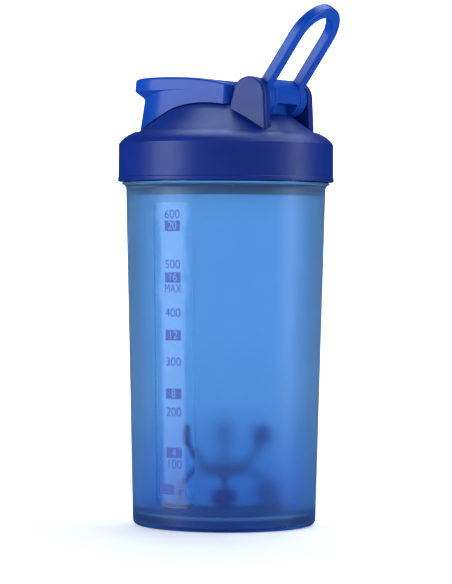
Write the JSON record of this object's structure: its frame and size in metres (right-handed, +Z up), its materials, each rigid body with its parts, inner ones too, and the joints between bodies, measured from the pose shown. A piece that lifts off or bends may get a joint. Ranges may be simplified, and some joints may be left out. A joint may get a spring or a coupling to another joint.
{
  "type": "shaker bottle",
  "caption": "Tapered frosted drink shaker with a clear sight strip, a threaded lid, a hinged cap over its spout, a folding carry loop and a loose mixing insert.",
  "frame": {"origin": "centre of the foot ring, on the surface that the bottle stands on", "axes": "+Z up along the cup; the spout is towards -X, the cap's hinge towards +X and the sight strip faces -Y"},
  "size_m": [0.0978, 0.0918, 0.2192],
  "materials": {
    "frosted_polypropylene": "translucent blue, etched outside, one polished clear strip",
    "navy_polypropylene": "satin moulded",
    "blue_polypropylene": "smooth moulded",
    "mixer_polypropylene": "smooth moulded",
    "clear_silicone": "translucent silicone",
    "scale_ink": "thin printed ink"
  },
  "bodies": {
    "cup": {"cup": "frosted_polypropylene"},
    "gasket": {"lid_gasket": "clear_silicone"},
    "lid": {"lid": "navy_polypropylene"},
    "cap": {"flip_cap": "blue_polypropylene", "spout_stopper": "clear_silicone"},
    "loop": {"carry_loop": "blue_polypropylene"},
    "mixer": {"mixer": "mixer_polypropylene"}
  },
  "joints": [
    {"name": "lid_lift", "type": "slide", "parent": "cup", "child": "gasket", "axis": [0, 0, 1], "range_m": [0, 0.0091]},
    {"name": "lid_turn", "type": "hinge", "parent": "gasket", "child": "lid", "pos_m": [0, 0, 0.155], "axis": [0, 0, 1], "range_deg": [0, 405]},
    {"name": "cap_flip", "type": "hinge", "parent": "lid", "child": "cap", "pos_m": [0.023, 0, 0.1809], "axis": [0, 1, 0], "range_deg": [0, 85]},
    {"name": "loop_swing", "type": "hinge", "parent": "lid", "child": "loop", "pos_m": [0.023, 0, 0.1809], "axis": [0, 1, 0], "range_deg": [0, 75]},
    {"name": "mixer_slide", "type": "slide", "parent": "cup", "child": "mixer", "axis": [0, 0, 1], "range_m": [0, 0.11]}
  ],
  "couplings": [
    {"joint": "lid_lift", "follows": "lid_turn", "m_per_rad": 0.0012732}
  ]
}
